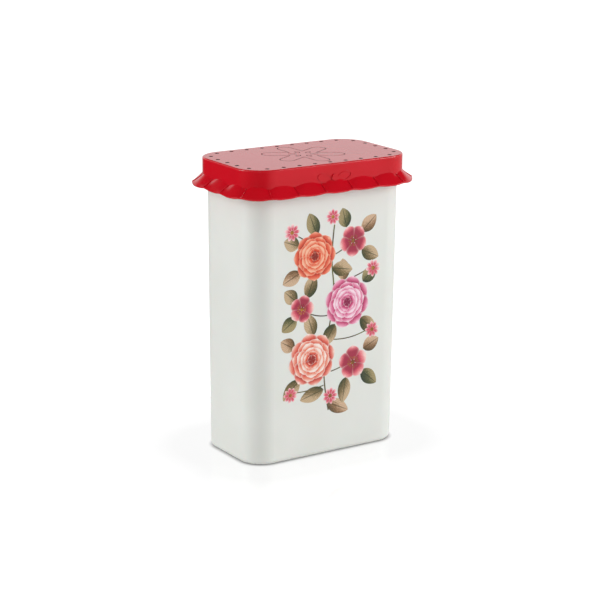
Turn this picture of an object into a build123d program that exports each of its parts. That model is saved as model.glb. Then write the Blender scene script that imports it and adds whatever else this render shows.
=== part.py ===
from build123d import *

import os
from math import atan2, cos, pi, sin

# A tall rectangular storage jar with a lid shaped like a cloth cover: a flat top with a row of
# pits and a six-petal rosette, an upright band with a bow, and a flared skirt in flutes.
# Millimetres, +Z up, the foot on z = 0, the printed front wall facing -Y.

# Jar body: outside sizes at the foot and at the rim, between which the walls lean outwards
base_length = 143.0
base_width = 79.0
base_corner = 20.0
rim_length = 144.6
rim_width = 82.0
rim_corner = 18.8
jar_height = 238.0
wall = 1.8
floor_thickness = 2.4
base_edge_radius = 4.0
inside_edge_radius = 3.5
foot_rim = 3.0
foot_recess = 1.0

# Lid: an upright band round the jar's rim, closed by a flat plate that rests on the rim
band_length = 153.0
band_width = 89.6
band_corner = 22.8
band_depth = 16.5
plate_thickness = 2.0
lid_wall = 1.6
plate_edge_radius = 1.2

# Fits between lid and jar
band_clearance = 0.3
plug_clearance = 0.4
flange_thickness = 1.8
flange_edge_radius = 0.5
plug_wall = 1.2
plug_depth = 7.0

# Skirt: flutes that droop in their middles and are held up at the creases between them
flute_count = 20
skirt_reach = 8.2
skirt_wall = 1.6
flute_start = 13.0
flute_hem = 21.0
crease_start = 15.0
crease_hem = 20.2
crease_sharpness = 2
points_per_flute = 8
hem_nose = 0.5
fold_radius = 0.55

# Decoration moulded into the lid
pit_count = 28
pit_radius = 1.75
pit_depth = 1.4
pit_inset = 6.1
pit_row_corner = 19.0
petal_count = 6
petal_turn = 30.0
petal_reach = 27.0
petal_half_width = 6.5
eye_middle = 8.6
eye_half_length = 3.4
eye_half_width = 1.8
groove_width = 0.75
groove_depth = 0.35
bow_drop = 11.0
bow_relief = 0.45
loop_half_length = 7.0
loop_half_height = 3.6
loop_tilt = 14.0
loop_band = 0.8
knot_half_width = 2.8
knot_half_height = 2.7
knot_relief = 0.9

# Spray of flowers printed on the front wall, each ink a thin film. The tables give places across
# and up from the middle of the spray, and sizes, all in hundredths of the spray's height.
spray_height = 166.0
spray_middle = 120.0
ink_thickness = 0.15
stem_width = 1.2
twig_width = 0.9
# across, up, radius, turn in degrees
full_blooms = [(-10, -23, 13.5, 10), (10, 3, 13, 30), (-9, 28, 12, 0)]
open_blooms = [(14, -28, 8.5, 20), (13, 33, 8, 50), (-16, 3, 7, 0)]
daisies = [
    (1, -43, 4.4, 0), (25, -13, 4.2, 15), (-22, 41, 4.4, 5),
    (25, 18, 4.4, 25), (1, 46, 4, 10), (-22, -39, 4, 20),
]
# across, up, direction in degrees, length
leaves = [
    (-17, -32, 225, 13), (-20, -16, 150, 9), (-9, -11, 110, 12), (19, -33, 320, 12),
    (10, -35, 262, 13), (20, -22, 25, 10), (18, -6, 318, 12), (19, 12, 40, 10),
    (3, -7, 240, 12), (8, 14, 95, 11), (-19, 7, 140, 9), (-19, -1, 215, 10),
    (-13, 8, 70, 12), (-17, 21, 205, 11), (-18, 34, 160, 9), (-8, 38, 112, 12),
    (1, 21, 350, 12), (18, 37, 42, 11), (18, 28, 335, 11), (9, 40, 105, 10),
    (-3, -39, 195, 14), (-1, -46, 335, 14),
]
leaf_half_width = 3.7
main_stem = [(0, -50), (-4, -32), (-1, -12), (3, 8), (0, 27), (2, 42)]
twigs = [
    [(-3, -37), (-12, -39), (-21, -38)],
    [(-4, -31), (4, -31), (13, -27)],
    [(-1, -14), (12, -17), (24, -12)],
    [(1, -2), (-7, -3), (-15, 2)],
    [(2, 13), (14, 14), (24, 19)],
    [(0, 25), (-11, 35), (-21, 40)],
    [(0, 27), (6, 28), (12, 33)],
]


def body_outline(height):
    """Outside length, width and corner radius of the jar's wall at a height above its foot."""
    share = height / jar_height
    length = base_length + (rim_length - base_length) * share
    width = base_width + (rim_width - base_width) * share
    corner = base_corner + (rim_corner - base_corner) * share
    return length, width, corner


def inset_rectangle(length, width, corner, inset):
    """A rounded rectangle drawn in the open sketch, inset all round from the sizes given."""
    RectangleRounded(length - 2 * inset, width - 2 * inset, corner - inset)


def half_outline(length, width, corner):
    """Half of a rounded rectangle, from the middle of its front round to the middle of its back."""
    x, y = length / 2, width / 2
    with BuildLine() as half:
        FilletPolyline((0, -y), (x, -y), (x, y), (0, y), radius=corner)
    return half.wire()


def place_around(half, turn):
    """Point and outward direction at a share of the whole way round from the front's middle."""
    share = 2 * min(turn, 1 - turn)
    mirrored = 1 if turn <= 0.5 else -1
    place = half @ share
    heading = half % share
    point = Vector(place.X * mirrored, place.Y)
    outward = Vector(heading.Y * mirrored, -heading.X)
    return point, outward


# Jar body
flange_inset = lid_wall + band_clearance
with BuildPart() as jar_body:
    for level in (0, jar_height):
        with BuildSketch(Plane.XY.offset(level)):
            RectangleRounded(*body_outline(level))
    loft()
    fillet(jar_body.faces().sort_by(Axis.Z)[0].edges(), base_edge_radius)
    with BuildSketch(Plane.XY.offset(jar_height - flange_thickness)):
        inset_rectangle(band_length, band_width, band_corner, flange_inset)
    flange = extrude(amount=flange_thickness)
    flange_corners = flange.edges().filter_by(Axis.Z, reverse=True).group_by(Axis.Z)
    fillet(flange_corners[-1] + flange_corners[0], flange_edge_radius)
    for level in (floor_thickness, jar_height):
        with BuildSketch(Plane.XY.offset(level)):
            inset_rectangle(*body_outline(level), wall)
    loft(mode=Mode.SUBTRACT)
    inside_floor = jar_body.faces().filter_by(Plane.XY).group_by(Axis.Z)[1]
    fillet(inside_floor.edges(), inside_edge_radius)
    with BuildSketch(Plane.XY):
        inset_rectangle(*body_outline(0), base_edge_radius + foot_rim)
    extrude(amount=foot_recess, mode=Mode.SUBTRACT)
jar_body.part.label = "jar_body"

# Skirt of the lid, as one shell of smooth rings drawn round the hem's outline
lid_top = jar_height + plate_thickness
hem_half = half_outline(
    band_length + 2 * skirt_reach, band_width + 2 * skirt_reach, band_corner + skirt_reach
)
ring_points = flute_count * points_per_flute


def skirt_depth(reach, swing):
    """Depth below the lid's top at a reach out from the band: swing is 1 mid-flute, -1 at a crease."""
    share = reach / skirt_reach
    crease = ((1 - swing) / 2) ** crease_sharpness
    middle = flute_start + (flute_hem - flute_start) * share
    held_up = crease_start + (crease_hem - crease_start) * share
    return middle + (held_up - middle) * crease


def skirt_ring(reach, inward=0.0, drop=0.0):
    """A closed ring of the skirt at a reach, moved inward and down from the outer surface."""
    points = []
    for index in range(ring_points):
        turn = index / ring_points
        hem_point, outward = place_around(hem_half, turn)
        swing = cos(2 * pi * turn * flute_count)
        height = lid_top - skirt_depth(reach, swing) - drop
        points.append(hem_point - outward * (skirt_reach - reach + inward) + Vector(0, 0, height))
    with BuildLine() as ring:
        Spline(*points, periodic=True)
    return ring.wire()


inner_shift = skirt_wall * 0.56
inner_drop = skirt_wall * 0.81
reaches = [-lid_wall / 3, skirt_reach * 0.2, skirt_reach * 0.5, skirt_reach * 0.8, skirt_reach]
outer_rings = [skirt_ring(reach) for reach in reaches]
inner_rings = [skirt_ring(reach, inner_shift, inner_drop) for reach in reaches]
nose_ring = skirt_ring(skirt_reach, inner_shift / 2 - hem_nose, inner_drop / 2)
shells = [
    Shell.make_loft(outer_rings),
    Shell.make_loft(inner_rings),
    Shell.make_loft([outer_rings[-1], nose_ring, inner_rings[-1]]),
    Shell.make_loft([outer_rings[0], inner_rings[0]], ruled=True),
]
skirt = Solid(Shell(Face.sew_faces([face for shell in shells for face in shell.faces()])[0]))

# Lid
pit_half = half_outline(band_length - 2 * pit_inset, band_width - 2 * pit_inset, pit_row_corner)
pit_places = [place_around(pit_half, index / pit_count)[0] for index in range(pit_count)]
with BuildPart() as lid:
    with BuildSketch(Plane.XY.offset(lid_top - band_depth)):
        RectangleRounded(band_length, band_width, band_corner)
    extrude(amount=band_depth)
    fillet(lid.faces().sort_by(Axis.Z)[-1].edges(), plate_edge_radius)
    with BuildSketch(Plane.XY.offset(lid_top - band_depth)):
        inset_rectangle(band_length, band_width, band_corner, lid_wall)
    extrude(amount=band_depth - plate_thickness, mode=Mode.SUBTRACT)
    with BuildSketch(Plane.XY.offset(jar_height - plug_depth)):
        inset_rectangle(*body_outline(jar_height), wall + plug_clearance)
        with BuildSketch(mode=Mode.SUBTRACT):
            inset_rectangle(*body_outline(jar_height), wall + plug_clearance + plug_wall)
    extrude(amount=plug_depth)
    with BuildSketch(Plane.XY.offset(lid_top)):
        with Locations(pit_places):
            Circle(pit_radius)
    extrude(amount=-pit_depth, mode=Mode.SUBTRACT)
    with BuildSketch(Plane.XY.offset(lid_top)):
        with PolarLocations(petal_reach / 2, petal_count, start_angle=petal_turn):
            SlotCenterToCenter(petal_reach, 2 * petal_half_width)
        offset(amount=-groove_width, mode=Mode.SUBTRACT)
        with PolarLocations(eye_middle, petal_count, start_angle=petal_turn):
            Ellipse(eye_half_length, eye_half_width)
            Ellipse(
                eye_half_length - groove_width, eye_half_width - groove_width, mode=Mode.SUBTRACT
            )
    extrude(amount=-groove_depth, mode=Mode.SUBTRACT)
    front = Plane(origin=(0, -band_width / 2, lid_top - bow_drop), x_dir=(1, 0, 0), z_dir=(0, -1, 0))
    loop_middle = knot_half_width + loop_half_length - loop_band
    with BuildSketch(front):
        for side in (-1, 1):
            with Locations(Location((side * loop_middle, 0), side * loop_tilt)):
                Ellipse(loop_half_length, loop_half_height)
                Ellipse(
                    loop_half_length - loop_band, loop_half_height - loop_band, mode=Mode.SUBTRACT
                )
    extrude(amount=bow_relief)
    with BuildSketch(front):
        Ellipse(knot_half_width, knot_half_height)
    extrude(amount=knot_relief)
    add(skirt)
    for index in range(flute_count):
        hem_point, outward = place_around(hem_half, (index + 0.5) / flute_count)
        foot = hem_point - outward * skirt_reach + Vector(0, 0, lid_top - crease_start)
        tip = hem_point + Vector(0, 0, lid_top - crease_hem)
        with BuildSketch(Plane(origin=foot, z_dir=tip - foot)):
            Circle(fold_radius)
        extrude(amount=(tip - foot).length - fold_radius / 2)
lid.part.label = "lid"

# Printed spray: the blooms lie over the leaves, the leaves over the stems, and no ink overlaps
wall_lean = atan2((rim_width - base_width) / 2, jar_height)
spray_plane = Plane(
    origin=(0, -body_outline(spray_middle)[1] / 2, spray_middle),
    x_dir=(1, 0, 0),
    z_dir=(0, -cos(wall_lean), -sin(wall_lean)),
)
spray_unit = spray_height / 100


def flower(across, up, radius, turn, petals, petal_length, petal_breadth):
    """A flower's outline in the open sketch: petals round a middle, as shares of its radius."""
    radius = radius * spray_unit
    with Locations((across * spray_unit, up * spray_unit)):
        Circle(radius * 0.45)
        with PolarLocations(radius * (1 - petal_length), petals, start_angle=turn):
            Ellipse(radius * petal_length, radius * petal_breadth)


def leaf(across, up, direction, length):
    """A pointed leaf in the open sketch, from its foot outwards."""
    foot = Vector(across, up) * spray_unit
    along = Vector(length * spray_unit, 0).rotate(Axis.Z, direction)
    side = Vector(0, leaf_half_width * spray_unit).rotate(Axis.Z, direction)
    with BuildLine() as outline:
        ThreePointArc(foot, foot + along * 0.5 + side, foot + along)
        ThreePointArc(foot + along, foot + along * 0.5 - side, foot)
    make_face(outline.edges())


def stem(points, width):
    """A curved stem in the open sketch through the points given."""
    with BuildLine() as middle:
        Spline(*[Vector(*point) * spray_unit for point in points])
    trace(middle.edges(), line_width=width)


with BuildSketch() as full_ink:
    for bloom in full_blooms:
        flower(*bloom, petals=8, petal_length=0.4, petal_breadth=0.36)
with BuildSketch() as open_ink:
    for bloom in open_blooms:
        flower(*bloom, petals=5, petal_length=0.46, petal_breadth=0.42)
    add(full_ink.sketch, mode=Mode.SUBTRACT)
with BuildSketch() as daisy_ink:
    for bloom in daisies:
        flower(*bloom, petals=9, petal_length=0.4, petal_breadth=0.2)
    for over in (full_ink, open_ink):
        add(over.sketch, mode=Mode.SUBTRACT)
with BuildSketch() as leaf_ink:
    for place in leaves:
        leaf(*place)
    for over in (full_ink, open_ink, daisy_ink):
        add(over.sketch, mode=Mode.SUBTRACT)
with BuildSketch() as stem_ink:
    stem(main_stem, stem_width)
    for twig in twigs:
        stem(twig, twig_width)
    for over in (full_ink, open_ink, daisy_ink, leaf_ink):
        add(over.sketch, mode=Mode.SUBTRACT)
inks = {
    "print_full_blooms": full_ink,
    "print_open_blooms": open_ink,
    "print_daisies": daisy_ink,
    "print_leaves": leaf_ink,
    "print_stems": stem_ink,
}
films = []
for name, ink in inks.items():
    with BuildPart() as film:
        with BuildSketch(spray_plane):
            add(ink.sketch)
        extrude(amount=ink_thickness)
    film.part.label = name
    films.append(film)

os.makedirs("parts", exist_ok=True)
for piece in (jar_body, lid, *films):
    export_step(piece.part, f"parts/{piece.part.label}.step")
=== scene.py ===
import random
from math import atan2, cos, log, pi, radians, sin

import bmesh
import bpy
from mathutils import Matrix, Quaternion, Vector


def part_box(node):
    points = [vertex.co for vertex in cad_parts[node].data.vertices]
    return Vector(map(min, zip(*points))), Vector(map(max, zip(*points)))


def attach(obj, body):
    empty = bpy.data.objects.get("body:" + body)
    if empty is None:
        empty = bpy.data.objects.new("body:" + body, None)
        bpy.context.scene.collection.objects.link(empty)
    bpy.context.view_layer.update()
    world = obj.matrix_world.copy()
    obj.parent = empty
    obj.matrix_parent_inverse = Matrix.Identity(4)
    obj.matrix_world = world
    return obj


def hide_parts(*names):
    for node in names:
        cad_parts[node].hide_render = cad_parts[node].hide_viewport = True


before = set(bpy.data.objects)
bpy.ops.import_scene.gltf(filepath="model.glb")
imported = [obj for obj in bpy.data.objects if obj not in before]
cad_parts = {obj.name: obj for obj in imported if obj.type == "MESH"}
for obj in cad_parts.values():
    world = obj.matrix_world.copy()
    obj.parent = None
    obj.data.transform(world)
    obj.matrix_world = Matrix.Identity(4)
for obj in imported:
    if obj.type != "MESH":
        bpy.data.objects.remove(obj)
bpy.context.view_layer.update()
MM = 0.001

# Foot of the jar on the floor
FOOT_HALF_LENGTH = 71.5 * MM
FOOT_HALF_WIDTH = 39.5 * MM
FOOT_CORNER = 20 * MM

# Lid: the height of its top and the outline of its band
LID_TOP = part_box("lid")[1].z
BAND_HALF_LENGTH = 76.5 * MM
BAND_HALF_WIDTH = 44.8 * MM
BAND_CORNER = 22.8 * MM
# Sunk marks on the lid's face lie this far inside the band's outline, and above this depth, which
# is past the pits' floors and short of the plate's underside
FACE_EDGE = 2 * MM
SUNK_LIMIT = 1.6 * MM

# Front wall, which leans out by 1.5 mm over its height of 238 mm: the spray of flowers is printed
# on it round this middle, and its tables count in hundredths of its height
WALL_LEAN = atan2(1.5, 238)
SPRAY_MIDDLE = Vector((0, -0.0402563, 0.120))
SPRAY_HEIGHT = 0.166
SPRAY_UNIT = SPRAY_HEIGHT / 100

# Point that the lamps and the camera face
JAR_MIDDLE = Vector((0, 0, 0.12))

# Kinds of node that the materials use most
MATH, VECTOR_MATH, RANGE = "ShaderNodeMath", "ShaderNodeVectorMath", "ShaderNodeMapRange"
RAMP, NOISE, MIX = "ShaderNodeValToRGB", "ShaderNodeTexNoise", "ShaderNodeMix"


def linear(text):
    """Linear colour with alpha from an sRGB hex value."""
    channels = [int(text[start:start + 2], 16) / 255 for start in (0, 2, 4)]
    bent = [c / 12.92 if c <= 0.04045 else ((c + 0.055) / 1.055) ** 2.4 for c in channels]
    return (*bent, 1)


WHITE = linear("ffffff")


def add_node(material, kind, inputs=None, stops=(), **settings):
    """Adds a node with its settings and colour stops.

    Each input takes a value, a socket, or a node, which stands for its first output.
    """
    node = material.node_tree.nodes.new(kind)
    for name, value in settings.items():
        setattr(node, name, value)
    for number, (position, colour) in enumerate(stops):
        elements = node.color_ramp.elements
        element = elements[number] if number < len(elements) else elements.new(position)
        element.position, element.color = position, linear(colour)
    for name, value in (inputs or {}).items():
        if isinstance(value, bpy.types.Node):
            value = value.outputs[0]
        if isinstance(value, bpy.types.NodeSocket):
            material.node_tree.links.new(value, node.inputs[name])
        else:
            node.inputs[name].default_value = value
    return node


def new_material(name, shader_values):
    """A node material with a principled shader; returns the material and the shader."""
    material = bpy.data.materials.new(name)
    material.use_nodes = True
    material.node_tree.nodes.clear()
    shader = add_node(material, "ShaderNodeBsdfPrincipled", shader_values)
    add_node(material, "ShaderNodeOutputMaterial", {"Surface": shader})
    return material, shader


def link(material, output, socket):
    material.node_tree.links.new(output, socket)


def past_rectangle(material, place, half_length, half_width, corner):
    """Distance of a point, seen from above, past the outline of a rounded rectangle."""
    middle = (half_length - corner, half_width - corner, 1)
    quarter = add_node(material, VECTOR_MATH, {0: place}, operation="ABSOLUTE")
    beyond = add_node(material, VECTOR_MATH, {0: quarter, 1: middle}, operation="SUBTRACT")
    outward = add_node(material, VECTOR_MATH, {0: beyond, 1: (0, 0, 0)}, operation="MAXIMUM")
    reach = add_node(material, VECTOR_MATH, {0: outward}, operation="LENGTH").outputs["Value"]
    return add_node(material, MATH, {0: reach, 1: corner}, operation="SUBTRACT")


def ray_kinds(holder):
    """Outputs that are 1 for the rays that show a surface directly, and for glossy rays."""
    rays = add_node(holder, "ShaderNodeLightPath").outputs
    shown = add_node(holder, MATH, {
        0: rays["Is Camera Ray"], 1: rays["Is Transmission Ray"],
    }, operation="MAXIMUM")
    return shown.outputs[0], rays["Is Glossy Ray"]


# Materials of the two mouldings

def white_polypropylene():
    """Off-white polypropylene from a fine-sparked mould: satin, a little soft in the light."""
    material, shader = new_material("polypropylene_moulded_white", {
        "Roughness": 0.38, "IOR": 1.49, "Subsurface Weight": 0.08, "Subsurface Scale": 0.002,
    })
    place = add_node(material, "ShaderNodeTexCoord").outputs["Object"]
    # slow clouds in the pigment, tens of millimetres across
    cloud = add_node(material, NOISE, {"Vector": place, "Scale": 22.0, "Detail": 2.0})
    colour = add_node(material, RAMP, {"Fac": cloud}, [(0.3, "e4e6e0"), (0.7, "e8eae5")])
    link(material, colour.outputs["Color"], shader.inputs["Base Color"])
    # spark texture of about 0.4 mm, only just proud
    spark = add_node(material, NOISE, {"Vector": place, "Scale": 2500.0, "Detail": 2.0})
    bump = add_node(material, "ShaderNodeBump", {
        "Height": spark, "Strength": 0.08, "Distance": 0.05 * MM,
    })
    link(material, bump.outputs["Normal"], shader.inputs["Normal"])
    return material


def red_polypropylene():
    """Cherry red polypropylene from a polished mould: deep colour under a clear gloss."""
    material, shader = new_material("polypropylene_moulded_red", {
        "IOR": 1.49, "Coat Weight": 0.2, "Coat Roughness": 0.1,
    })
    place = add_node(material, "ShaderNodeTexCoord").outputs["Object"]
    cloud = add_node(material, NOISE, {"Vector": place, "Scale": 30.0, "Detail": 2.0})
    colour = add_node(material, RAMP, {"Fac": cloud}, [(0.3, "cc0016"), (0.7, "d2001c")])
    # painted shade: the pits and the engraved lines of the lid's face are painted near black and
    # made rough, where shade falls in them
    height = add_node(material, "ShaderNodeSeparateXYZ", {"Vector": place}).outputs["Z"]
    sunk = add_node(material, RANGE, {
        "Value": height, "From Min": LID_TOP - 0.01 * MM, "From Max": LID_TOP - 0.06 * MM,
    })
    above = add_node(material, MATH, {0: height, 1: LID_TOP - SUNK_LIMIT}, operation="GREATER_THAN")
    past_band = past_rectangle(material, place, BAND_HALF_LENGTH, BAND_HALF_WIDTH, BAND_CORNER)
    inside = add_node(material, MATH, {0: past_band, 1: -FACE_EDGE}, operation="LESS_THAN")
    painted_shade = sunk
    for other in (above, inside):
        painted_shade = add_node(material, MATH, {0: painted_shade, 1: other}, operation="MULTIPLY")
    dull = add_node(material, RANGE, {"Value": painted_shade, "To Min": 0.2, "To Max": 0.9})
    link(material, dull.outputs["Result"], shader.inputs["Roughness"])
    mixed = add_node(material, MIX, {
        "Factor": painted_shade, "A": colour, "B": linear("0c0002"),
    }, data_type="RGBA")
    link(material, mixed.outputs["Result"], shader.inputs["Base Color"])
    # waves of the cooled skin, about 8 mm long
    waves = add_node(material, NOISE, {"Vector": place, "Scale": 120.0, "Detail": 1.0})
    bump = add_node(material, "ShaderNodeBump", {
        "Height": waves, "Strength": 0.02, "Distance": 0.1 * MM,
    })
    link(material, bump.outputs["Normal"], shader.inputs["Normal"])
    return material


# Inks of the printed spray. A blade's own map runs across it, 0 to 1 with its midrib at 0.5, and
# along it from its foot at 0 to its tip at 1; "tone" is one number for the whole blade.

def blade_map(material):
    """Outputs for a printed blade: across from the midrib, away from it, along, tone, strokes."""
    uv = add_node(material, "ShaderNodeUVMap", uv_map="blade").outputs["UV"]
    parts = add_node(material, "ShaderNodeSeparateXYZ", {"Vector": uv}).outputs
    across = add_node(material, MATH, {0: parts["X"], 1: 0.5}, operation="SUBTRACT")
    across = add_node(material, MATH, {0: across, 1: 2.0}, operation="MULTIPLY")
    away = add_node(material, MATH, {0: across}, operation="ABSOLUTE")
    tone = add_node(material, "ShaderNodeAttribute", attribute_name="tone").outputs["Fac"]
    shifted = add_node(material, VECTOR_MATH, {0: uv, 1: tone}, operation="ADD")
    long = add_node(material, "ShaderNodeMapping", {"Vector": shifted, "Scale": (14.0, 2.2, 1.0)})
    strokes = add_node(material, NOISE, {"Vector": long, "Detail": 3.0})
    return across, away, parts["Y"], tone, strokes


def petal_ink(name, heart, deep, middle, pale):
    """Offset ink of a painted petal: dark towards the heart, a pale turned rim, brush strokes."""
    material, shader = new_material(name, {"Roughness": 0.42, "IOR": 1.5})
    _, away, along, tone, strokes = blade_map(material)
    # the half of the petal that shows grows lighter to its tip, broken by strokes and by its tone
    level = add_node(material, MATH, {0: strokes, 1: 0.8, 2: -0.4}, operation="MULTIPLY_ADD")
    level = add_node(material, MATH, {0: tone, 1: 0.55, 2: level}, operation="MULTIPLY_ADD")
    level = add_node(material, MATH, {0: along, 1: 1.7, 2: level}, operation="MULTIPLY_ADD")
    level = add_node(material, MATH, {0: level, 1: 1.15}, operation="SUBTRACT")
    stops = [(0.0, heart), (0.28, deep), (0.62, middle), (0.95, pale)]
    body = add_node(material, RAMP, {"Fac": level}, stops)
    # pale rim where the petal turns over
    tip = add_node(material, MATH, {0: along, 1: 9.0}, operation="POWER")
    side = add_node(material, MATH, {0: away, 1: 7.0}, operation="POWER")
    rim = add_node(material, MATH, {0: tip, 1: side}, operation="MAXIMUM")
    lit = add_node(material, MATH, {0: rim, 1: along}, operation="MULTIPLY")
    mixed = add_node(material, MIX, {"Factor": lit, "A": body, "B": linear(pale)}, data_type="RGBA")
    link(material, mixed.outputs["Result"], shader.inputs["Base Color"])
    return material


def leaf_ink(name, shade, middle, light):
    """Offset ink of a painted leaf: dark foot, tan tip, dark midrib and side veins."""
    material, shader = new_material(name, {"Roughness": 0.42, "IOR": 1.5})
    across, away, along, tone, strokes = blade_map(material)
    level = add_node(material, MATH, {0: across, 1: 0.28, 2: strokes}, operation="MULTIPLY_ADD")
    level = add_node(material, MATH, {0: tone, 1: 0.2, 2: level}, operation="MULTIPLY_ADD")
    level = add_node(material, MATH, {0: along, 1: 0.55, 2: level}, operation="MULTIPLY_ADD")
    body = add_node(material, RAMP, {"Fac": level}, [(0.5, shade), (0.82, middle), (1.0, light)])
    # side veins leave the midrib forwards, eight to a leaf
    slant = add_node(material, MATH, {0: away, 1: -0.35, 2: along}, operation="MULTIPLY_ADD")
    turns = add_node(material, MATH, {0: slant, 1: 2 * pi * 8}, operation="MULTIPLY")
    wave = add_node(material, MATH, {0: turns}, operation="COSINE")
    vein = add_node(material, RANGE, {
        "Value": wave, "From Min": 0.8, "From Max": 1.0, "To Max": 0.35,
    })
    rib = add_node(material, RANGE, {
        "Value": away, "From Min": 0.1, "From Max": 0.04, "To Max": 0.8,
    })
    lines = add_node(material, MATH, {0: vein, 1: rib}, operation="MAXIMUM")
    mixed = add_node(material, MIX, {
        "Factor": lines, "A": body, "B": linear(shade),
    }, data_type="RGBA")
    link(material, mixed.outputs["Result"], shader.inputs["Base Color"])
    return material


def stem_ink(name, dark, light):
    """Offset ink in two colours that run into each other, for stems, stamens and buttons."""
    material, shader = new_material(name, {"Roughness": 0.42, "IOR": 1.5})
    place = add_node(material, "ShaderNodeTexCoord").outputs["Object"]
    runs = add_node(material, NOISE, {"Vector": place, "Scale": 90.0, "Detail": 3.0})
    colour = add_node(material, RAMP, {"Fac": runs}, [(0.4, dark), (0.62, light)])
    link(material, colour.outputs["Color"], shader.inputs["Base Color"])
    return material


# Mouldings: the CAD nodes keep their shapes
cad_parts["jar_body"].material_slots[0].material = white_polypropylene()
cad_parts["lid"].material_slots[0].material = red_polypropylene()

# Printed spray, laid out flat and then turned from across the wall, up it and out of it to the
# jar's own axes
WALL = Matrix.Translation(SPRAY_MIDDLE) @ Matrix((
    (1, 0, 0, 0),
    (0, -sin(WALL_LEAN), -cos(WALL_LEAN), 0),
    (0, cos(WALL_LEAN), -sin(WALL_LEAN), 0),
    (0, 0, 0, 1),
))
# Thickness of the lowest ink, and how much further out a blade stands than the one it lies on
INK_BASE = 0.04 * MM
INK_STEP = 0.003 * MM
# Steps that lie under each kind of motif, so that it covers the kinds before it
LEAF_LAYER, DAISY_LAYER, OPEN_LAYER, FULL_LAYER = 3, 8, 12, 20
# Outline of a blade: the lower its fullness, the blunter its ends; the higher the other two, the
# narrower and the shorter the notch in its tip
BLADE_FULLNESS = 0.72
NOTCH_NARROWNESS = 1.6
NOTCH_SHARPNESS = 8
draw = random.Random(12)


class Print:
    """One printed piece in the making: blades and discs of ink on the front wall."""

    def __init__(self, name):
        self.name = name
        self.mesh = bmesh.new()
        self.uv = self.mesh.loops.layers.uv.new("blade")
        self.tone = self.mesh.faces.layers.float.new("tone")

    def lay(self, points, faces, place, height, tone, slot):
        """Gives the new faces their tone and thickness and moves them to their place."""
        for face in faces:
            face[self.tone] = tone
            face.material_index = slot
        raised = bmesh.ops.extrude_face_region(self.mesh, geom=faces, use_keep_orig=True)["geom"]
        upper = [item for item in raised if isinstance(item, bmesh.types.BMVert)]
        bmesh.ops.translate(self.mesh, verts=upper, vec=(0, 0, height))
        bmesh.ops.transform(self.mesh, verts=list(points) + upper, matrix=place)

    def blade(
        self, place, length, half_width, widest, bend=0.0, notch=0.0,
        height=INK_BASE, tone=0.5, slot=0, columns=4, rows=9,
    ):
        """A petal or a leaf along its own X from its foot.

        Widest is the share of its length where it is widest; bend and notch are shares too.
        """
        before = set(self.mesh.faces)
        grid = bmesh.ops.create_grid(self.mesh, x_segments=rows, y_segments=columns, size=1)
        made = grid["verts"]
        faces = [face for face in self.mesh.faces if face not in before]
        for face in faces:
            for corner in face.loops:
                point = corner.vert.co
                corner[self.uv].uv = (point.y / 2 + 0.5, point.x / 2 + 0.5)
        power = log(0.5) / log(widest)
        for vert in made:
            along, across = vert.co.x / 2 + 0.5, vert.co.y
            width = max(sin(pi * along ** power), 0.0) ** BLADE_FULLNESS
            middle = 1 - min(abs(across) * NOTCH_NARROWNESS, 1.0)
            tip = 1 - notch * middle * along ** NOTCH_SHARPNESS
            vert.co.x = length * along * tip
            vert.co.y = half_width * across * width + bend * length * sin(pi * along)
        self.lay(made, faces, place, height, tone, slot)

    def disc(self, place, radius, height, tone=0.5, slot=0, sides=20):
        """A round spot of ink."""
        circle = bmesh.ops.create_circle(self.mesh, cap_ends=True, radius=radius, segments=sides)
        made = circle["verts"]
        faces = list({face for vert in made for face in vert.link_faces})
        for face in faces:
            for corner in face.loops:
                point = corner.vert.co
                corner[self.uv].uv = (point.y / radius / 2 + 0.5, point.x / radius / 2 + 0.5)
        self.lay(made, faces, place, height, tone, slot)

    def finish(self, node, slot, *materials):
        """Makes the piece, printed on the front wall in the place of its CAD node."""
        bmesh.ops.remove_doubles(self.mesh, verts=self.mesh.verts, dist=0.0005 * MM)
        bmesh.ops.recalc_face_normals(self.mesh, faces=self.mesh.faces)
        bmesh.ops.transform(self.mesh, verts=self.mesh.verts, matrix=WALL)
        data = bpy.data.meshes.new(self.name)
        self.mesh.to_mesh(data)
        self.mesh.free()
        for material in materials:
            data.materials.append(material)
        piece = bpy.data.objects.new(self.name, data)
        bpy.context.scene.collection.objects.link(piece)
        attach(piece, "jar")
        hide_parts(node)


def on_wall(across, up, direction=0.0, out=0.0):
    """Place of something that points in a direction, in degrees, and starts out from a point."""
    turn = Matrix.Rotation(radians(direction), 4, "Z")
    return Matrix.Translation((across, up, 0)) @ turn @ Matrix.Translation((out, 0, 0))


# across, up, radius (hundredths of the spray's height), turn in degrees
CORAL_BLOOMS = [(-10, -23, 13.5, 10)]
MAGENTA_BLOOMS = [(10, 3, 13, 30)]
SCARLET_BLOOMS = [(-9, 28, 12, 0)]
OPEN_BLOOMS = [(14, -28, 8.5, 20), (13, 33, 8, 50), (-16, 3, 7, 0)]
DAISIES = [
    (1, -43, 4.4, 0), (25, -13, 4.2, 15), (-22, 41, 4.4, 5),
    (25, 18, 4.4, 25), (1, 46, 4, 10), (-22, -39, 4, 20),
]
# across, up, direction in degrees, length
LEAVES = [
    (-17, -32, 225, 13), (-20, -16, 150, 9), (-9, -11, 110, 12), (19, -33, 320, 12),
    (10, -35, 262, 13), (20, -22, 25, 10), (18, -6, 318, 12), (19, 12, 40, 10),
    (3, -7, 240, 12), (8, 14, 95, 11), (-19, 7, 140, 9), (-19, -1, 215, 10),
    (-13, 8, 70, 12), (-17, 21, 205, 11), (-18, 34, 160, 9), (-8, 38, 112, 12),
    (1, 21, 350, 12), (18, 37, 42, 11), (18, 28, 335, 11), (9, 40, 105, 10),
    (-3, -39, 195, 14), (-1, -46, 335, 14),
]
LEAF_HALF_WIDTH = 3.7
# slots of the inks, from leaf to leaf, over and over again
LEAF_SLOTS = (0, 1, 0, 2)
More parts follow.
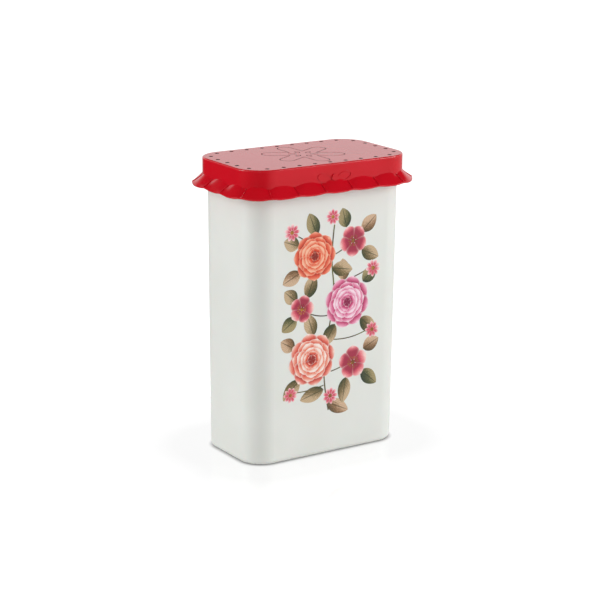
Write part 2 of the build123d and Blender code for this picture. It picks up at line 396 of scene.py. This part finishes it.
# across, up of the points that pull each stem into shape
MAIN_STEM = [(0, -50), (-4, -32), (-1, -12), (3, 8), (0, 27), (2, 42)]
TWIGS = [
    [(-3, -37), (-12, -39), (-21, -38)],
    [(-4, -31), (4, -31), (13, -27)],
    [(-1, -14), (12, -17), (24, -12)],
    [(1, -2), (-7, -3), (-15, 2)],
    [(2, 13), (14, 14), (24, 19)],
    [(0, 25), (-11, 35), (-21, 40)],
    [(0, 27), (6, 28), (12, 33)],
]

# petals in a ring, then as shares of the radius where they start, their length and half-width,
# and the ring's tone, from deep at 0 to pale at 1
FULL_RINGS = [
    (8, 0.2, 0.8, 0.36, 0.25), (8, 0.14, 0.68, 0.32, 0.5), (7, 0.1, 0.56, 0.28, 1.1),
    (6, 0.06, 0.44, 0.24, 1.2), (5, 0.03, 0.32, 0.18, 0.8), (4, 0.0, 0.2, 0.12, 0.1),
]


def full_bloom(printed, across, up, radius, turn):
    """A full bloom: rings of petals that shorten towards a closed heart."""
    across, up, radius = (value * SPRAY_UNIT for value in (across, up, radius))
    height = INK_BASE + FULL_LAYER * INK_STEP
    for ring, (count, foot, length, half_width, tone) in enumerate(FULL_RINGS):
        for petal in range(count):
            # the petals of every second ring fill the gaps, and all but the outer ring stray
            direction = turn + 360 * (petal + 0.5 * (ring % 2)) / count
            direction += draw.uniform(-5, 5) * min(ring, 1)
            height += INK_STEP
            reach = radius * length * (draw.uniform(0.93, 1.03) if ring else 1.0)
            printed.blade(
                on_wall(across, up, direction, radius * foot), reach, radius * half_width,
                widest=0.66, bend=draw.uniform(-0.06, 0.06), notch=draw.uniform(0.0, 0.1),
                height=height, tone=tone + draw.uniform(-0.15, 0.15),
            )


def open_bloom(printed, across, up, radius, turn):
    """An open bloom: five broad petals round a dark eye ringed with stamens."""
    across, up, radius = (value * SPRAY_UNIT for value in (across, up, radius))
    height = INK_BASE + OPEN_LAYER * INK_STEP
    for petal in range(5):
        height += INK_STEP
        printed.blade(
            on_wall(across, up, turn + 72 * petal, radius * 0.06), radius * 0.94, radius * 0.46,
            widest=0.62, notch=0.1, height=height, tone=draw.random(), columns=6, rows=10,
        )
    for stamen in range(16):
        direction = 360 * stamen / 16 + draw.uniform(-6, 6)
        height += INK_STEP
        printed.blade(
            on_wall(across, up, direction, radius * 0.08), radius * draw.uniform(0.26, 0.36),
            radius * 0.025, widest=0.8, height=height, tone=draw.random(), slot=1,
            columns=2, rows=4,
        )
    printed.disc(on_wall(across, up), radius * 0.14, height + INK_STEP, slot=1)


def daisy(printed, across, up, radius, turn):
    """A small blossom: nine narrow petals round a button."""
    across, up, radius = (value * SPRAY_UNIT for value in (across, up, radius))
    height = INK_BASE + DAISY_LAYER * INK_STEP
    for petal in range(9):
        height += INK_STEP
        printed.blade(
            on_wall(across, up, turn + 40 * petal, radius * 0.1), radius * 0.9, radius * 0.21,
            widest=0.64, notch=0.05, height=height, tone=draw.random(),
        )
    printed.disc(on_wall(across, up), radius * 0.22, height + INK_STEP, slot=1, sides=14)


FULL_BLOOMS = {
    "coral": (CORAL_BLOOMS, ("98201a", "dc4230", "f08c6e", "fdeae0")),
    "magenta": (MAGENTA_BLOOMS, ("8a1446", "cc3470", "e47aa4", "fbdfe9")),
    "scarlet": (SCARLET_BLOOMS, ("8c1c10", "d8381a", "ea5c34", "fac0a0")),
}
for colour_name, (blooms, inks) in FULL_BLOOMS.items():
    bloom_print = Print(colour_name + "_bloom")
    for bloom in blooms:
        full_bloom(bloom_print, *bloom)
    bloom_ink = petal_ink("offset_ink_" + colour_name, *inks)
    bloom_print.finish("print_full_blooms", "ink_coral", bloom_ink)

open_print = Print("open_blooms")
for bloom in OPEN_BLOOMS:
    open_bloom(open_print, *bloom)
open_print.finish(
    "print_open_blooms", "ink_pink",
    petal_ink("offset_ink_rose", "a62a46", "da5468", "ee9095", "fad6d0"),
    stem_ink("offset_ink_stamens", "5a2a1c", "c8892f"),
)

daisy_print = Print("daisies")
for bloom in DAISIES:
    daisy(daisy_print, *bloom)
daisy_print.finish(
    "print_daisies", "ink_pale_pink",
    petal_ink("offset_ink_blush", "d8566c", "ec93a0", "f6bcc0", "fdeae6"),
    stem_ink("offset_ink_buttons", "8a5a1e", "d9a441"),
)

leaf_print = Print("leaf_spray")
for number, (across, up, direction, length) in enumerate(LEAVES):
    # leaves that may touch lie at different heights
    layer = LEAF_LAYER + (number % 3) / 2
    leaf_print.blade(
        on_wall(across * SPRAY_UNIT, up * SPRAY_UNIT, direction), length * SPRAY_UNIT,
        LEAF_HALF_WIDTH * SPRAY_UNIT, widest=0.46, height=INK_BASE + layer * INK_STEP,
        tone=draw.random(), slot=LEAF_SLOTS[number % len(LEAF_SLOTS)], columns=6, rows=14,
    )
leaf_print.finish(
    "print_leaves", "ink_olive",
    leaf_ink("offset_ink_olive", "38401f", "867048", "cbb08c"),
    leaf_ink("offset_ink_khaki_brown", "4f3f24", "9c7652", "d4b494"),
    leaf_ink("offset_ink_dark_green", "26341f", "5c5f38", "a8986c"),
)


# Length of a strip of stem in shares of its step, so that the line has no gaps on its bends
STRIP_OVERLAP = 1.12


def printed_stem(printed, points, width):
    """A line of ink on one smooth curve that the points pull into shape."""
    curve = bpy.data.curves.new("stem_line", "CURVE")
    curve.dimensions = "3D"
    line = curve.splines.new("NURBS")
    line.points.add(len(points) - 1)
    for point, (across, up) in zip(line.points, points):
        point.co = (across * SPRAY_UNIT, up * SPRAY_UNIT, 0, 1)
    line.order_u = 3
    line.use_endpoint_u = True
    line.resolution_u = 12
    holder = bpy.data.objects.new("stem_line", curve)
    bpy.context.scene.collection.objects.link(holder)
    path = [vertex.co.copy() for vertex in bpy.data.meshes.new_from_object(holder).vertices]
    bpy.data.objects.remove(holder)
    for start, end in zip(path, path[1:]):
        along = end - start
        grid = bmesh.ops.create_grid(printed.mesh, x_segments=1, y_segments=1, size=1)
        strip = grid["verts"]
        faces = list({face for vert in strip for face in vert.link_faces})
        half_length = along.length / 2 * STRIP_OVERLAP
        bmesh.ops.scale(printed.mesh, verts=strip, vec=(half_length, width / 2, 1))
        turn = Matrix.Rotation(atan2(along.y, along.x), 4, "Z")
        place = Matrix.Translation((start + end) / 2) @ turn
        printed.lay(strip, faces, place, INK_BASE, 0.5, 0)


STEM_WIDTH, TWIG_WIDTH = 1.2 * MM, 0.9 * MM
stem_print = Print("stems")
printed_stem(stem_print, MAIN_STEM, STEM_WIDTH)
for twig in TWIGS:
    printed_stem(stem_print, twig, TWIG_WIDTH)
stem_print.finish("print_stems", "ink_brown", stem_ink("offset_ink_bark", "4a2f1c", "6d6a35"))

# Floor: a white sheet lit from below, so that shadow and mirror image stay faint in the picture
FLOOR_HALF_SIZE = 6
FLOOR_IOR = 1.8
floor_mesh = bmesh.new()
bmesh.ops.create_grid(floor_mesh, x_segments=1, y_segments=1, size=FLOOR_HALF_SIZE)
floor_data = bpy.data.meshes.new("floor")
floor_mesh.to_mesh(floor_data)
floor_mesh.free()
floor = bpy.data.objects.new("floor", floor_data)
bpy.context.scene.collection.objects.link(floor)
sheet, sheet_shader = new_material("white_acrylic_sheet", {
    "Roughness": 0.03, "IOR": FLOOR_IOR, "Emission Color": WHITE,
})
floor_place = add_node(sheet, "ShaderNodeTexCoord").outputs["Object"]
past_foot = past_rectangle(sheet, floor_place, FOOT_HALF_LENGTH, FOOT_HALF_WIDTH, FOOT_CORNER)

# the camera sees a darker face that glows, and all other light falls on a white one
floor_shown, floor_gloss = ray_kinds(sheet)
tint = add_node(sheet, MIX, {
    "Factor": floor_shown, "A": linear("f7f7f7"), "B": linear("5c5c5c"),
}, data_type="RGBA")
link(sheet, tint.outputs["Result"], sheet_shader.inputs["Base Color"])
# what the gloss mirrors is missing from the glow, so that the two add up to white
mirrored = add_node(sheet, "ShaderNodeFresnel", {"IOR": FLOOR_IOR})
glow = add_node(sheet, MATH, {0: mirrored, 1: -0.9, 2: 0.93}, operation="MULTIPLY_ADD")
# further off the glow outshines the mirror image
outshine = add_node(sheet, RANGE, {
    "Value": past_foot, "From Min": 30 * MM, "From Max": 120 * MM, "To Max": 0.25,
})
glow = add_node(sheet, MATH, {0: glow, 1: outshine}, operation="ADD")
# painted contact shadow: the glow drops to a fifth where the foot touches the floor
painted_contact_shadow = add_node(sheet, RANGE, {
    "Value": past_foot, "From Min": -3 * MM, "From Max": 3 * MM, "To Min": 0.2,
}, interpolation_type="SMOOTHSTEP")
for share in (floor_shown, painted_contact_shadow):
    glow = add_node(sheet, MATH, {0: glow, 1: share}, operation="MULTIPLY")
link(sheet, glow.outputs[0], sheet_shader.inputs["Emission Strength"])
# painted reflection shade: past the jar the floor glows dark to glossy rays alone, darker to the
# left, in place of dark cards out of view
spread = add_node(sheet, RANGE, {"Value": past_foot, "From Min": 0.13, "From Max": 0.28})
painted_shade_in_gloss = add_node(sheet, MATH, {0: floor_gloss, 1: spread}, operation="MULTIPLY")
aside = add_node(sheet, "ShaderNodeSeparateXYZ", {"Vector": floor_place}).outputs["X"]
shade = add_node(sheet, RANGE, {
    "Value": aside, "From Min": -0.3, "From Max": 0.3, "To Min": 0.03, "To Max": 0.45,
})
painted_dark_emission = add_node(sheet, "ShaderNodeEmission", {"Color": WHITE, "Strength": shade})
mix = add_node(sheet, "ShaderNodeMixShader", {0: painted_shade_in_gloss, 1: sheet_shader, 2: painted_dark_emission})
output = next(node for node in sheet.node_tree.nodes if node.type == "OUTPUT_MATERIAL")
link(sheet, mix.outputs[0], output.inputs["Surface"])
floor_data.materials.append(sheet)

# World: soft studio light; the camera sees plain white, and gloss sees a white backdrop that
# darkens towards the studio's ceiling
world = bpy.data.worlds.new("studio")
world.use_nodes = True
bpy.context.scene.world = world
world.node_tree.nodes.clear()
sky_shown, sky_gloss = ray_kinds(world)
heading = add_node(world, "ShaderNodeTexCoord").outputs["Generated"]
rise = add_node(world, "ShaderNodeSeparateXYZ", {"Vector": heading}).outputs["Z"]
backdrop = add_node(world, RANGE, {
    "Value": rise, "From Min": 0.30, "From Max": 0.48, "To Min": 0.9, "To Max": 0.03,
})
walls = add_node(world, RANGE, {
    "Value": rise, "From Min": 0.1, "From Max": 0.7, "To Min": 0.95, "To Max": 0.45,
})
soft = add_node(world, MIX, {"Factor": sky_gloss, "A": walls, "B": backdrop})
level = add_node(world, MIX, {"Factor": sky_shown, "A": soft, "B": 1.0})
sky = add_node(world, "ShaderNodeBackground", {"Color": WHITE, "Strength": level})
add_node(world, "ShaderNodeOutputWorld", {"Surface": sky})


def softbox(name, place, width, height, watts):
    """A rectangular soft light that faces the middle of the jar, out of the camera's sight."""
    data = bpy.data.lights.new(name, "AREA")
    data.shape = "RECTANGLE"
    data.size, data.size_y, data.energy = width, height, watts
    lamp = bpy.data.objects.new(name, data)
    lamp.visible_camera = False
    lamp.location = place
    lamp.rotation_euler = (JAR_MIDDLE - Vector(place)).to_track_quat("-Z", "Y").to_euler()
    bpy.context.scene.collection.objects.link(lamp)


softbox("key_softbox", (1.8, -1.5, 0.9), width=1.2, height=1.2, watts=29)
softbox("side_softbox", (-1.9, 0.7, 0.9), width=1.0, height=1.2, watts=18)

# Camera at the photograph's viewing angle, turned a little about its own axis
AZIMUTH, ELEVATION, ROLL, DISTANCE = radians(33.4103), radians(15.1047), radians(0.48), 1.510
camera_data = bpy.data.cameras.new("camera")
camera_data.sensor_width = 36
camera_data.lens = 111.45
camera_data.shift_x = -0.00325
camera_data.shift_y = -0.00090
camera = bpy.data.objects.new("camera", camera_data)
ahead = Vector((sin(AZIMUTH) * cos(ELEVATION), cos(AZIMUTH) * cos(ELEVATION), -sin(ELEVATION)))
camera.location = JAR_MIDDLE - ahead * DISTANCE
camera.rotation_euler = (
    ahead.to_track_quat("-Z", "Y") @ Quaternion((0, 0, 1), ROLL)
).to_euler()
bpy.context.scene.collection.objects.link(camera)
bpy.context.scene.camera = camera
bpy.context.scene.view_settings.view_transform = "Standard"
